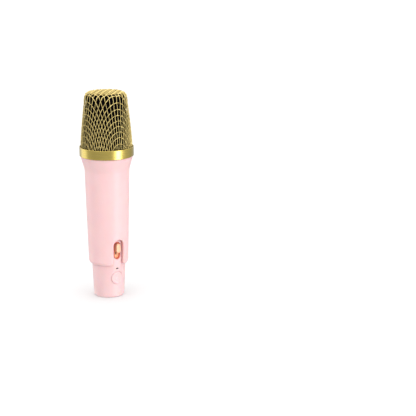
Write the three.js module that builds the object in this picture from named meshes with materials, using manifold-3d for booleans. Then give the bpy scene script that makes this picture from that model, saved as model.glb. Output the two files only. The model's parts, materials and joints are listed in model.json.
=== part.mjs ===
// Wireless karaoke microphone: a pink two-part handle, a gold ring and a deep-drawn grille basket,
// with the board, cell, switches and capsule that it holds.
// Millimetres. The origin is the centre of the flat base, +Z runs up the axis to the grille, and
// the controls face -Y.
import * as THREE from 'three';
import { mergeVertices } from 'three/addons/utils/BufferGeometryUtils.js';
import Module from 'manifold-3d';

const wasm = await Module();
wasm.setup();

// ---------- driving dimensions ----------
const GAP = 0.3; // between neighbours that touch on the real object
const SEAT = 0.1; // between flat faces that are soldered or screwed together
const FINE = 40; // sides of the outer shells
const COARSE = 24; // sides of the inner round pieces

const BASE_RADIUS = 12.1; // core tube just above its rounded foot
const FOOT_ROUND = 1.6;
const CORE_STEP_Z = 57.3; // where the core tube widens and rests on the sleeve's ledge
const CORE_TOP = 104;
const CORE_LOW_RADIUS = 13.5; // under the sleeve, below the step
const CORE_HIGH_RADIUS = 14.5;
const CORE_LOW_BORE = 11.6;
const CORE_HIGH_BORE = 12.7;

const SLEEVE_BOTTOM = 27.2;
const SLEEVE_EDGE_ROUND = 3;
const SLEEVE_LOW_RADIUS = 15.75;
const SLEEVE_HIGH_RADIUS = 17.68;
const SLEEVE_CREASE_Z = 103.2; // where the flare to the head begins
const SLEEVE_TOP = 114.3;
const SLEEVE_TOP_RADIUS = 20.8;

const RING_RADIUS = 21.45;
const RING_BOTTOM = SLEEVE_TOP + GAP;
const RING_TOP = 121.9;
const RING_BEVEL = 0.6;

const MESH_RADIUS = 20.65; // grille basket at its skirt
const MESH_WALL = 1.4;
const MESH_TOP = 166.6;
const SHOULDER_ROUND = 4.6;
const SHOULDER_RADIUS = 12.4; // where the shoulder's curve meets the flat crown
const SHOULDER_Z = 161.2;
const FOAM_WALL = 2.6;
const FOAM_FOOT = 119;

const NOTCH_WIDTH = 9.45; // thumb notch in the sleeve, open at the bottom
const NOTCH_TOP = 48.4;
const NOTCH_CORNER = 2.2;

const POCKET_Z = 39.1; // centre of the slide switch's pocket
const POCKET_LENGTH = 12.8;
const POCKET_WIDTH = 4.7;
const POCKET_FLOOR_Y = -11.2;
const TRAY_WALL = 0.4;
const KNOB_LENGTH = 7.3;
const KNOB_WIDTH = 3.9;
const KNOB_Z = 41.35;
const KNOB_FRONT_Y = -15.8;
const KNOB_TRAVEL = 4.6; // downwards
const STEM_LENGTH = 2.8; // of the knob's forked stem, along its travel
const SLIDE_BODY_FRONT_Y = -8.5;

const BUTTON_Z = 16.3;
const BUTTON_RADIUS = 5;
const BUTTON_PROUD_RADIUS = 13.15; // face of the button, measured from the axis

const LED_Z = 24.2;
const LED_WIDTH = 1.9;
const LED_HEIGHT = 0.8;

const BOARD_FRONT_Y = -6.2;
const BOARD_BACK_Y = -5;
const BOARD_WIDTH = 18;
const BOARD_BOTTOM = 4;
const BOARD_TOP = 84;
const BOARD_SCREWS = [[-6, 20], [6, 20], [0, 79]]; // x and z
const USB_Y = -3.25;
const USB_BOTTOM = 2.4;
const USB_LENGTH = 7.3;

const CELL_RADIUS = 7;
const CELL_Y = 2.6;
const CELL_BOTTOM = 24.6;
const CELL_LENGTH = 49.2;
const CHASSIS_RADIUS = 11.2;
const CHASSIS_FRONT_Y = BOARD_BACK_Y + GAP;
const CHASSIS_BOTTOM = 3.6;
const CHASSIS_TOP = 81;
const TROUGH_BOTTOM = 22; // the cell lies between these two ends of the chassis
const TROUGH_TOP = 77;
const CAP_SCREW_X = 7.2;
const CAP_SCREW_Y = 2.6;
const CAP_SINK = 1.2; // depth of the sunk holes for the end cap's screw heads

const COLLAR_RADIUS = 18.4;
const COLLAR_DECK = CORE_TOP + GAP;
const COLLAR_DECK_TOP = COLLAR_DECK + 1.8;
const COLLAR_SCREW_X = 10.2;
const COLLAR_BOSS_BOTTOM = 94;
const CAPSULE_RADIUS = 10;
const CAPSULE_BOTTOM = 116.6;

// ---------- materials ----------
function finish(color, roughness, metalness = 0) {
  return new THREE.MeshStandardMaterial({ color, roughness, metalness });
}

const PINK = finish('#f9d3d3', 0.4);
const CORAL = finish('#e2705a', 0.4);
const ROSE_GOLD = finish('#c98264', 0.3, 0.9);
const GOLD = finish('#c2a150', 0.3, 0.9);
const BLACK_PLASTIC = finish('#1b1b1d', 0.6);
const BLACK_RUBBER = finish('#161617', 0.85);
const FOAM = finish('#121214', 0.95);
const STEEL = finish('#b9babc', 0.35, 0.9);
const DARK_MAGNET = finish('#5c5d61', 0.4, 0.9);
const COPPER = finish('#b5683a', 0.35, 0.9);
const BOARD_GREEN = finish('#1f5f3a', 0.5);
const CHIP_BLACK = finish('#202225', 0.55);
const CELL_WRAP = finish('#3f7fc4', 0.3);
const WHITE_PLASTIC = finish('#ece9e2', 0.6);
const SMOKED_LENS = finish('#4a3338', 0.15);
const FILM = finish('#d8cfae', 0.25);
const FELT = finish('#2a2a2c', 0.95);
const RED_WIRE = finish('#b8201c', 0.5);
const BLACK_WIRE = finish('#1a1a1a', 0.5);
const WHITE_WIRE = finish('#e6e4de', 0.5);

// ---------- solids ----------
// A closed geometry becomes a manifold solid, with its faces turned outwards.
function solidOf(geometry) {
  const bare = geometry.clone();
  bare.deleteAttribute('normal');
  bare.deleteAttribute('uv');
  const merged = mergeVertices(bare);
  const places = merged.attributes.position;
  const index = merged.index.array;
  const corner = [new THREE.Vector3(), new THREE.Vector3(), new THREE.Vector3()];
  const triangles = [];
  let sixVolumes = 0;
  for (let i = 0; i < index.length; i += 3) {
    const [a, b, c] = [index[i], index[i + 1], index[i + 2]];
    if (a === b || b === c || c === a) continue;
    triangles.push(a, b, c);
    corner.forEach((point, n) => point.fromBufferAttribute(places, index[i + n]));
    sixVolumes += corner[0].dot(corner[1].clone().cross(corner[2]));
  }
  if (sixVolumes < 0) triangles.reverse();
  const vertProperties = new Float32Array(places.array);
  const triVerts = new Uint32Array(triangles);
  return new wasm.Manifold(new wasm.Mesh({ numProp: 3, vertProperties, triVerts }));
}

// A solid of revolution about Z from [radius, height] points.
function turned(points, sides = COARSE) {
  const profile = points.map(([radius, height]) => new THREE.Vector2(radius, height));
  const first = profile[0];
  const last = profile[profile.length - 1];
  if (first.x > 0 || last.x > 0) profile.push(first.clone());
  return solidOf(new THREE.LatheGeometry(profile, sides).rotateX(Math.PI / 2));
}

// A box from its middle in x and y, its lowest z and its size.
function block(x, y, bottom, width, depth, height) {
  const box = new THREE.BoxGeometry(width, depth, height);
  return solidOf(box.translate(x, y, bottom + height / 2));
}

// A rod that stands along Z.
function upright(x, y, bottom, radius, height, sides = COARSE) {
  const rod = new THREE.CylinderGeometry(radius, radius, height, sides).rotateX(Math.PI / 2);
  return solidOf(rod.translate(x, y, bottom + height / 2));
}

// A rod that points to the front, from its back end to its front end in y.
function frontRod(x, z, radius, backY, frontY, sides = COARSE) {
  const length = backY - frontY;
  const rod = new THREE.CylinderGeometry(radius, radius, length, sides);
  return solidOf(rod.translate(x, (backY + frontY) / 2, z));
}

// An outline drawn in x and z, made solid from backY to frontY.
function frontPrism(shape, backY, frontY, curveSegments = 7) {
  const settings = { depth: backY - frontY, bevelEnabled: false, curveSegments };
  const prism = new THREE.ExtrudeGeometry(shape, settings).rotateX(Math.PI / 2);
  return solidOf(prism.translate(0, backY, 0));
}

// An outline drawn in x and y, made solid upwards from bottom.
function uprightPrism(shape, bottom, height, curveSegments = 6) {
  const settings = { depth: height, bevelEnabled: false, curveSegments };
  return solidOf(new THREE.ExtrudeGeometry(shape, settings).translate(0, 0, bottom));
}

// An upright outline with half-round ends.
function stadium(width, length, middleZ) {
  const radius = width / 2;
  const reach = length / 2 - radius;
  const shape = new THREE.Shape();
  shape.moveTo(radius, middleZ - reach);
  shape.lineTo(radius, middleZ + reach);
  shape.absarc(0, middleZ + reach, radius, 0, Math.PI);
  shape.lineTo(-radius, middleZ - reach);
  shape.absarc(0, middleZ - reach, radius, Math.PI, 2 * Math.PI);
  return shape;
}

// A wire of round section along a smooth curve through its points.
function wire(points, radius, steps = 12) {
  const path = new THREE.CatmullRomCurve3(points.map((point) => new THREE.Vector3(...point)));
  const section = new THREE.Shape();
  section.absarc(0, 0, radius, 0, 2 * Math.PI);
  const settings = { steps, extrudePath: path, curveSegments: 4 };
  return solidOf(new THREE.ExtrudeGeometry(section, settings));
}

// Points of a circular arc in a turned profile, with angles in degrees.
function arc(centreRadius, centreZ, radius, startDegrees, endDegrees, steps) {
  const points = [];
  for (let i = 0; i <= steps; i += 1) {
    const angle = THREE.MathUtils.degToRad(startDegrees + (i * (endDegrees - startDegrees)) / steps);
    points.push([centreRadius + radius * Math.cos(angle), centreZ + radius * Math.sin(angle)]);
  }
  return points;
}

const microphone = new THREE.Group();

function add(name, solid, material) {
  const { vertProperties, triVerts } = solid.getMesh();
  const geometry = new THREE.BufferGeometry();
  geometry.setAttribute('position', new THREE.BufferAttribute(new Float32Array(vertProperties), 3));
  geometry.setIndex(new THREE.BufferAttribute(new Uint32Array(triVerts), 1));
  geometry.computeVertexNormals();
  const mesh = new THREE.Mesh(geometry, material);
  mesh.name = name;
  microphone.add(mesh);
}

// ---------- handle shells ----------
// The core tube is the bare lower grip, and runs on up inside the sleeve to carry the head.
function coreTube() {
  const flangeBottom = 2.3;
  const flangeTop = 3.3;
  const flangeRadius = 9;
  const capBore = 10.5;
  const foot = arc(BASE_RADIUS - FOOT_ROUND, FOOT_ROUND, FOOT_ROUND, -90, 0, 4);
  let tube = turned([
    [capBore - 0.4, 0],
    ...foot,
    [12.6, 10],
    [13.2, 25],
    [CORE_LOW_RADIUS - 0.05, 30],
    [CORE_LOW_RADIUS, CORE_STEP_Z],
    [CORE_HIGH_RADIUS, CORE_STEP_Z],
    [CORE_HIGH_RADIUS, CORE_TOP],
    [CORE_HIGH_BORE, CORE_TOP],
    [CORE_HIGH_BORE, CORE_STEP_Z + 3],
    [CORE_LOW_BORE, CORE_STEP_Z + 1],
    [CORE_LOW_BORE, flangeTop],
    [flangeRadius, flangeTop],
    [flangeRadius, flangeBottom],
    [capBore, flangeBottom],
    [capBore, 0.4],
  ], FINE);
  for (const side of [-1, 1]) {
    const bossHeight = CORE_TOP - COLLAR_BOSS_BOTTOM;
    const boss = upright(side * COLLAR_SCREW_X, 0, COLLAR_BOSS_BOTTOM, 2.3, bossHeight, 16);
    const web = block(side * (COLLAR_SCREW_X + 1.6), 0, COLLAR_BOSS_BOTTOM, 2.6, 2.4, bossHeight);
    const hole = upright(side * COLLAR_SCREW_X, 0, COLLAR_BOSS_BOTTOM - 1, 1.2, 20, 12);
    tube = tube.add(boss).add(web).subtract(hole);
  }
  const buttonHole = frontRod(0, BUTTON_Z, BUTTON_RADIUS + GAP, -8, -16, 32);
  const ledHole = block(0, -12, LED_Z - LED_HEIGHT / 2 - 0.2, LED_WIDTH + 0.4, 4, LED_HEIGHT + 0.4);
  const rim = 2 * (TRAY_WALL + GAP);
  const outer = stadium(POCKET_WIDTH + rim, POCKET_LENGTH + rim, POCKET_Z);
  return tube.subtract(buttonHole).subtract(ledHole).subtract(frontPrism(outer, -9, -16));
}

// Outer radius of the sleeve's slow taper, slightly crowned between its lower edge and its crease.
function sleeveRadius(z) {
  const low = SLEEVE_BOTTOM + SLEEVE_EDGE_ROUND;
  const along = (z - low) / (SLEEVE_CREASE_Z - low);
  const taper = SLEEVE_LOW_RADIUS + along * (SLEEVE_HIGH_RADIUS - SLEEVE_LOW_RADIUS);
  return taper + 0.08 * Math.sin(Math.PI * along);
}

function outerSleeve() {
  const edgeZ = SLEEVE_BOTTOM + SLEEVE_EDGE_ROUND * Math.sin(THREE.MathUtils.degToRad(70));
  const edge = arc(SLEEVE_LOW_RADIUS - SLEEVE_EDGE_ROUND, edgeZ, SLEEVE_EDGE_ROUND, -70, 0, 5);
  const taper = [];
  for (let z = 38; z < SLEEVE_CREASE_Z - 3; z += 13) taper.push([sleeveRadius(z), z]);
  const bore = CORE_LOW_RADIUS + GAP;
  const ledgeZ = CORE_STEP_Z - GAP;
  const sleeve = turned([
    [bore, SLEEVE_BOTTOM],
    ...edge,
    ...taper,
    [SLEEVE_HIGH_RADIUS, SLEEVE_CREASE_Z],
    [17.86, 104.6],
    [18.3, 106],
    [SLEEVE_TOP_RADIUS, SLEEVE_TOP],
    [COLLAR_RADIUS + 0.35, SLEEVE_TOP],
    [COLLAR_RADIUS + 0.35, 112.3],
    [16.2, 105],
    [15.85, 102],
    [CORE_HIGH_RADIUS + 0.35, ledgeZ],
    [bore, ledgeZ],
  ], FINE);
  return sleeve.subtract(frontPrism(notchOutline(), -8, -19));
}

// The thumb notch: a round-topped slot whose two lower corners are rounded outwards.
function notchOutline() {
  const half = NOTCH_WIDTH / 2;
  const wide = half + NOTCH_CORNER;
  const cornerZ = SLEEVE_BOTTOM + NOTCH_CORNER;
  const below = SLEEVE_BOTTOM - 2;
  const shape = new THREE.Shape();
  shape.moveTo(wide, below);
  shape.lineTo(wide, SLEEVE_BOTTOM);
  shape.absarc(wide, cornerZ, NOTCH_CORNER, 1.5 * Math.PI, Math.PI, true);
  shape.lineTo(half, NOTCH_TOP - half);
  shape.absarc(0, NOTCH_TOP - half, half, 0, Math.PI);
  shape.lineTo(-half, cornerZ);
  shape.absarc(-wide, cornerZ, NOTCH_CORNER, 0, -0.5 * Math.PI, true);
  shape.lineTo(-wide, below);
  return shape;
}

// The end cap closes the core tube, with a slot for the charging socket and two sunk screws.
function endCap() {
  let cap = turned([[0, 0], [9.8, 0], [10.2, 0.4], [10.2, 2], [0, 2]], FINE);
  cap = cap.subtract(uprightPrism(rounded(9.7, 3.9, 1.9, USB_Y), -1, 4));
  for (const side of [-1, 1]) {
    const sunk = upright(side * CAP_SCREW_X, CAP_SCREW_Y, -1, 2.3, 1 + CAP_SINK, 20);
    const hole = upright(side * CAP_SCREW_X, CAP_SCREW_Y, -1, 1.3, 5, 12);
    cap = cap.subtract(sunk).subtract(hole);
  }
  return cap;
}

// A rectangle in x and y with rounded corners, centred on x = 0.
function rounded(width, depth, corner, middleY) {
  const [x, y] = [width / 2 - corner, depth / 2 - corner];
  const shape = new THREE.Shape();
  shape.absarc(x, middleY + y, corner, 0, Math.PI / 2);
  shape.absarc(-x, middleY + y, corner, Math.PI / 2, Math.PI);
  shape.absarc(-x, middleY - y, corner, Math.PI, 1.5 * Math.PI);
  shape.absarc(x, middleY - y, corner, 1.5 * Math.PI, 2 * Math.PI);
  return shape;
}

// ---------- head ----------
function grilleRing() {
  const bore = MESH_RADIUS + GAP;
  return turned([
    [19.3, RING_BOTTOM],
    [RING_RADIUS - 0.3, RING_BOTTOM],
    [RING_RADIUS, RING_BOTTOM + 0.3],
    [RING_RADIUS, RING_TOP - RING_BEVEL],
    [RING_RADIUS - 0.3, RING_TOP],
    [bore, RING_TOP],
    [bore, RING_BOTTOM + 0.8],
    [19.3, RING_BOTTOM + 0.8],
  ], FINE);
}

// Radius of the basket's outside below its shoulder: a straight skirt, then a growing taper.
function basketRadius(z) {
  const skirtTop = 123;
  if (z < skirtTop) return MESH_RADIUS;
  const along = (z - skirtTop) / (SHOULDER_Z - skirtTop);
  return MESH_RADIUS - (MESH_RADIUS - SHOULDER_RADIUS - SHOULDER_ROUND) * along ** 1.25;
}

// Outline of the basket moved inwards by depth, from the skirt's foot up to the axis.
function basketProfile(depth, footZ) {
  const points = [];
  for (const z of [footZ, 123, 133, 143, 153]) points.push([basketRadius(z) - depth, z]);
  points.push(...arc(SHOULDER_RADIUS, SHOULDER_Z, SHOULDER_ROUND - depth, 0, 78, 4));
  points.push([0, MESH_TOP - depth]);
  return points;
}

function basketShell(depth, wall, footZ, sides) {
  const inside = basketProfile(depth + wall, footZ).reverse();
  return turned([...basketProfile(depth, footZ), ...inside], sides);
}

// The collar is the inner frame of the head: it stands on the core tube and the grille sits on it.
function headCollar() {
  let collar = turned([
    [3.5, COLLAR_DECK],
    [15.5, COLLAR_DECK],
    [15.85, 105],
    [COLLAR_RADIUS, 112.5],
    [COLLAR_RADIUS, 118.5],
    [16.9, 118.5],
    [16.9, 113.2],
    [14.4, COLLAR_DECK_TOP],
    [3.5, COLLAR_DECK_TOP],
  ], 40);
  for (const side of [-1, 1]) {
    const hole = upright(side * COLLAR_SCREW_X, 0, COLLAR_DECK - 1, 1.3, 5, 12);
    collar = collar.subtract(hole);
  }
  return collar;
}

// The cradle is a rubber shock mount: a stalk on the deck that opens into a cup for the capsule.
function capsuleCradle() {
  const foot = COLLAR_DECK_TOP + SEAT;
  const cupRadius = CAPSULE_RADIUS + 3;
  const bore = CAPSULE_RADIUS + GAP;
  const floor = CAPSULE_BOTTOM - GAP;
  return turned([
    [2.6, foot],
    [7.6, foot],
    [7.6, foot + 2.5],
    [cupRadius, foot + 7.5],
    [cupRadius, CAPSULE_BOTTOM + 9],
    [bore, CAPSULE_BOTTOM + 9],
    [bore, floor],
    [2.6, floor],
  ]);
}

// A moving-coil capsule, from its solder board at the back to the felt on its face.
function buildCapsule() {
  const z = CAPSULE_BOTTOM;
  const [coilBore, coilRadius] = [5.4, 6];
  add('capsule_board', turned([[1, z], [8, z], [8, z + 0.8], [1, z + 0.8]]), BOARD_GREEN);
  const basket = turned([
    [2, z + 1.1],
    [CAPSULE_RADIUS, z + 1.1],
    [CAPSULE_RADIUS, z + 11.6],
    [8.7, z + 11.6],
    [8.7, z + 2.3],
    [2, z + 2.3],
  ]);
  add('capsule_basket', basket, BLACK_PLASTIC);
  const yoke = turned([
    [0, z + 2.6],
    [7.5, z + 2.6],
    [7.5, z + 8.4],
    [6.5, z + 8.4],
    [6.5, z + 3.6],
    [0, z + 3.6],
  ]);
  add('capsule_yoke', yoke, STEEL);
  add('capsule_magnet', upright(0, 0, z + 3.6 + SEAT, 4.7, 3.4), DARK_MAGNET);
  add('capsule_pole_plate', upright(0, 0, z + 7.2, 5, 1.2), STEEL);
  const coil = turned([
    [coilBore, z + 6.4],
    [coilRadius, z + 6.4],
    [coilRadius, z + 9.7],
    [coilBore, z + 9.7],
  ]);
  add('voice_coil', coil, COPPER);
  const film = turned([
    [0, z + 11.1],
    [4.2, z + 10.4],
    [coilRadius, z + 9.8],
    [7.4, z + 10.5],
    [8.4, z + 10],
    [8.4, z + 10.25],
    [7.4, z + 10.75],
    [coilRadius, z + 10.05],
    [4.2, z + 10.65],
    [0, z + 11.35],
  ]);
  add('diaphragm', film, FILM);
  let cover = upright(0, 0, z + 11.9, CAPSULE_RADIUS, 1);
  for (let i = 0; i < 7; i += 1) {
    const reach = i === 0 ? 0 : 5.6;
    const angle = (i * Math.PI) / 3;
    cover = cover.subtract(upright(reach * Math.cos(angle), reach * Math.sin(angle), z + 11, 1.3, 3, 12));
  }
  add('capsule_cover', cover, STEEL);
  add('capsule_felt', upright(0, 0, z + 13, 9.2, 0.7), FELT);
}

// ---------- slide switch ----------
// The coral tray lines the pocket in the core tube, and a flange holds it from the inside.
function switchTray() {
  const flangeFront = POCKET_FLOOR_Y + 0.8;
  const flangeBack = flangeFront + 0.6;
  const slotLength = STEM_LENGTH + KNOB_TRAVEL + 0.8;
  const slotZ = KNOB_Z - KNOB_TRAVEL / 2;
  const outside = stadium(POCKET_WIDTH + 2 * TRAY_WALL, POCKET_LENGTH + 2 * TRAY_WALL, POCKET_Z);
  const rim = frontPrism(outside, flangeFront, -15).intersect(upright(0, 0, 20, 13.35, 40, FINE));
  const flange = frontPrism(stadium(8.4, 16.2, POCKET_Z), flangeBack, flangeFront);
  const pocket = frontPrism(stadium(POCKET_WIDTH, POCKET_LENGTH, POCKET_Z), POCKET_FLOOR_Y, -16);
  const slot = block(0, POCKET_FLOOR_Y, slotZ - slotLength / 2, 2, 6, slotLength);
  return rim.add(flange).subtract(pocket).subtract(slot);
}

// The knob is a long hexagon, chamfered at its front, on a stem that forks over the lever.
function slideKnob() {
  const chamfer = 0.35;
  const back = POCKET_FLOOR_Y - GAP;
  const settings = {
    depth: back - KNOB_FRONT_Y - 2 * chamfer,
    bevelSize: chamfer,
    bevelThickness: chamfer,
    bevelOffset: -chamfer,
    bevelSegments: 1,
  };
  const half = KNOB_WIDTH / 2;
  const end = KNOB_LENGTH / 2;
  const shoulder = 2.2;
  const tip = 1;
  const shape = new THREE.Shape();
  shape.moveTo(half, -shoulder);
  shape.lineTo(half, shoulder);
  shape.lineTo(tip, end);
  shape.lineTo(-tip, end);
  shape.lineTo(-half, shoulder);
  shape.lineTo(-half, -shoulder);
  shape.lineTo(-tip, -end);
  shape.lineTo(tip, -end);
  const cap = new THREE.ExtrudeGeometry(shape, settings).rotateX(Math.PI / 2);
  cap.translate(0, back - chamfer, KNOB_Z);
  const stem = block(0, -10.3, KNOB_Z - STEM_LENGTH / 2, 1.4, 2.8, STEM_LENGTH);
  const fork = block(0, -9.3, KNOB_Z - 0.85, 3, 1.2, 1.7);
  return solidOf(cap).add(stem).subtract(fork);
}

function slideSwitchBody() {
  const back = BOARD_FRONT_Y - SEAT;
  const middleZ = KNOB_Z - KNOB_TRAVEL / 2;
  const depth = back - SLIDE_BODY_FRONT_Y;
  const shell = block(0, back - depth / 2, middleZ - 5.2, 4.4, depth, 10.4);
  const slotLength = 1.1 + KNOB_TRAVEL + 0.8;
  return shell.subtract(block(0, SLIDE_BODY_FRONT_Y, middleZ - slotLength / 2, 1.9, 2.4, slotLength));
}

// ---------- power button and status light ----------
function powerButton() {
  const flangeBack = -8.8;
  const cap = frontRod(0, BUTTON_Z, BUTTON_RADIUS, flangeBack - 0.3, -16, 32);
  const face = upright(0, 0, BUTTON_Z - 8, BUTTON_PROUD_RADIUS, 16, FINE);
  const flange = frontRod(0, BUTTON_Z, BUTTON_RADIUS + 0.8, flangeBack, flangeBack - 0.85, 32);
  const stem = frontRod(0, BUTTON_Z, 1.5, -8.45, flangeBack - 0.2, 12);
  return cap.intersect(face).add(flange).add(stem);
}

function buildButtonAndLight() {
  add('power_button', powerButton(), PINK);
  const back = BOARD_FRONT_Y - SEAT;
  const switchBody = block(0, back - 0.8, BUTTON_Z - 3, 6, 1.6, 6);
  add('tact_switch_body', switchBody.subtract(frontRod(0, BUTTON_Z, 1.95, -7, -9, 20)), STEEL);
  add('tact_plunger', frontRod(0, BUTTON_Z, 1.6, -7.65, -8.35, 20), BLACK_PLASTIC);
  add('status_led', block(0, back - 0.5, LED_Z - 0.7, 2, 1, 1.4), WHITE_PLASTIC);
  const pipe = block(0, -10.4, LED_Z - LED_HEIGHT / 2, LED_WIDTH, 5.1, LED_HEIGHT);
  add('status_light_pipe', pipe, SMOKED_LENS);
}

// ---------- board and what is soldered to it ----------
function buildBoard() {
  const shape = new THREE.Shape();
  const half = BOARD_WIDTH / 2;
  const corner = 1.5;
  shape.absarc(half - corner, BOARD_TOP - corner, corner, 0, Math.PI / 2);
  shape.absarc(corner - half, BOARD_TOP - corner, corner, Math.PI / 2, Math.PI);
  shape.absarc(corner - half, BOARD_BOTTOM + corner, corner, Math.PI, 1.5 * Math.PI);
  shape.absarc(half - corner, BOARD_BOTTOM + corner, corner, 1.5 * Math.PI, 2 * Math.PI);
  let board = frontPrism(shape, BOARD_BACK_Y, BOARD_FRONT_Y, 4);
  for (const [x, z] of BOARD_SCREWS) board = board.subtract(frontRod(x, z, 1.2, -4, -8, 12));
  add('main_board', board, BOARD_GREEN);

  const front = BOARD_FRONT_Y - SEAT;
  add('radio_chip', block(0, front - 0.45, 57.5, 5, 0.9, 5), CHIP_BLACK);
  const can = block(0, front - 1, 53.5, 13, 2, 13);
  add('radio_shield', can.subtract(block(0, front - 0.7, 53.9, 12.2, 2, 12.2)), STEEL);
  add('audio_chip', block(-4, front - 0.6, 69.5, 4.9, 1.2, 3.9), CHIP_BLACK);
  add('charge_chip', block(-6, front - 0.6, 28, 3.9, 1.2, 4.9), CHIP_BLACK);
  add('power_inductor', block(5.8, front - 1, 28.2, 4, 2, 4), DARK_MAGNET);
  add('crystal', block(4.6, front - 0.4, 70, 3.2, 0.8, 2.5), STEEL);
  const rise = [[-7, -4.3, 83], [-7, -3.6, 86], [-7.2, -4.5, 91], [-7.4, -6, 96], [-7, -7, 101]];
  add('antenna_wire', wire(rise, 0.5, 8), BLACK_WIRE);
}

function buildUsbSocket() {
  const shell = uprightPrism(rounded(8.9, 3.1, 1.5, USB_Y), USB_BOTTOM, USB_LENGTH);
  const mouth = uprightPrism(rounded(8.3, 2.5, 1.2, USB_Y), USB_BOTTOM - 1, USB_LENGTH);
  add('usb_socket_shell', shell.subtract(mouth), STEEL);
  add('usb_socket_tongue', block(0, USB_Y, USB_BOTTOM + 0.9, 6.6, 0.7, 5.3), BLACK_PLASTIC);
}

// ---------- chassis, cell and leads ----------
// The chassis is a trough behind the board: it carries the board's screws and cradles the cell.
function chassis() {
  const height = CHASSIS_TOP - CHASSIS_BOTTOM;
  const cellBore = CELL_RADIUS + 0.35;
  const frontCut = block(0, CHASSIS_FRONT_Y - 10, CHASSIS_BOTTOM - 1, 30, 20, height + 2);
  const pocketHeight = TROUGH_TOP - TROUGH_BOTTOM;
  const pocketDepth = CELL_Y - CHASSIS_FRONT_Y + 2;
  const mouthY = CELL_Y - pocketDepth / 2;
  const pocketMouth = block(0, mouthY, TROUGH_BOTTOM, 2 * cellBore, pocketDepth, pocketHeight);
  let trough = upright(0, 0, CHASSIS_BOTTOM, CHASSIS_RADIUS, height, 32).subtract(frontCut);
  trough = trough.subtract(upright(0, 0, CHASSIS_BOTTOM - 1, 9.5, 18 - CHASSIS_BOTTOM + 1, 32));
  trough = trough.subtract(upright(0, CELL_Y, TROUGH_BOTTOM, cellBore, pocketHeight, 32));
  trough = trough.subtract(pocketMouth);
  for (const side of [-1, 1]) {
    const x = side * CAP_SCREW_X;
    trough = trough.add(upright(x, CAP_SCREW_Y, CHASSIS_BOTTOM, 2.5, 18.2 - CHASSIS_BOTTOM, 20));
    trough = trough.subtract(upright(x, CAP_SCREW_Y, CHASSIS_BOTTOM - 1, 1.15, 9, 12));
  }
  for (const [x, z] of BOARD_SCREWS) trough = trough.subtract(frontRod(x, z, 1.1, 0, -6, 12));
  trough = trough.subtract(upright(2.6, CELL_Y, TROUGH_TOP - 1, 1.1, 6, 12));
  return trough.subtract(upright(-2.6, CELL_Y, TROUGH_BOTTOM - 6, 1.1, 7, 12));
}

function cell() {
  const top = CELL_BOTTOM + CELL_LENGTH;
  return turned([
    [0, CELL_BOTTOM],
    [CELL_RADIUS - 0.5, CELL_BOTTOM],
    [CELL_RADIUS, CELL_BOTTOM + 0.5],
    [CELL_RADIUS, top - 0.5],
    [CELL_RADIUS - 0.5, top],
    [0, top],
  ]).translate([0, CELL_Y, 0]);
}

function buildLeads() {
  const top = CELL_BOTTOM + CELL_LENGTH + GAP;
  const foot = CELL_BOTTOM - GAP;
  const boardBack = BOARD_BACK_Y + GAP + 0.5;
  const plus = [
    [0, CELL_Y, top + 0.6],
    [1.8, CELL_Y, top + 1.4],
    [2.6, CELL_Y, TROUGH_TOP + 2],
    [2.6, 1.6, 82.8],
    [2.6, -1.6, 83.4],
    [2.6, boardBack, 82.6],
  ];
  const minus = [
    [0, CELL_Y, foot - 0.6],
    [-1.8, CELL_Y, foot - 1.2],
    [-2.6, CELL_Y, 20],
    [-2.6, 1.8, 15.6],
    [-2.6, -1.6, 14],
    [-2.6, boardBack, 14.6],
  ];
  add('cell_lead_plus', wire(plus, 0.5), RED_WIRE);
  add('cell_lead_minus', wire(minus, 0.5), BLACK_WIRE);
  const names = { '-1': 'capsule_lead_signal', 1: 'capsule_lead_ground' };
  for (const side of [-1, 1]) {
    const route = [
      [side * 1.5, 0, CAPSULE_BOTTOM - 0.9],
      [side * 1.4, 0, 110],
      [side * 1.5, 0, 103],
      [side * 3, -1.5, 95],
      [side * 4.6, -3.2, 88],
      [side * 5, boardBack, 82.4],
    ];
    add(names[side], wire(route, 0.5, 12), side < 0 ? WHITE_WIRE : BLACK_WIRE);
  }
}

// ---------- screws ----------
// A pan-head screw with a cross recess. It points along +Z from the underside of its head.
function screw(headRadius, headHeight, shankRadius, shankLength) {
  const head = turned([
    [0, -headHeight],
    [headRadius - 0.5, -headHeight],
    [headRadius, -headHeight + 0.5],
    [headRadius, 0],
    [shankRadius, 0],
    [shankRadius, shankLength - shankRadius],
    [0, shankLength],
  ], 12);
  const reach = headRadius * 1.1;
  const depth = headHeight;
  const low = -1.5 * depth;
  const recess = block(0, 0, low, reach, 0.4, depth).add(block(0, 0, low, 0.4, reach, depth));
  return head.subtract(recess);
}

function buildScrews() {
  for (const side of [-1, 1]) {
    const number = side < 0 ? 1 : 2;
    const capScrew = screw(2, 0.95, 0.85, 8);
    const capSeat = [side * CAP_SCREW_X, CAP_SCREW_Y, CAP_SINK - 0.05];
    add(`end_cap_screw_${number}`, capScrew.translate(capSeat), STEEL);
    const collarScrew = screw(2, 1.1, 0.85, 9).rotate([180, 0, 0]);
    const headSeat = COLLAR_DECK_TOP + 0.05;
    add(`collar_screw_${number}`, collarScrew.translate([side * COLLAR_SCREW_X, 0, headSeat]), STEEL);
  }
  BOARD_SCREWS.forEach(([x, z], i) => {
    const boardScrew = screw(1.8, 0.9, 0.75, 4.6).rotate([-90, 0, 0]);
    add(`board_screw_${i + 1}`, boardScrew.translate([x, BOARD_FRONT_Y - 0.05, z]), STEEL);
  });
}

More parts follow.
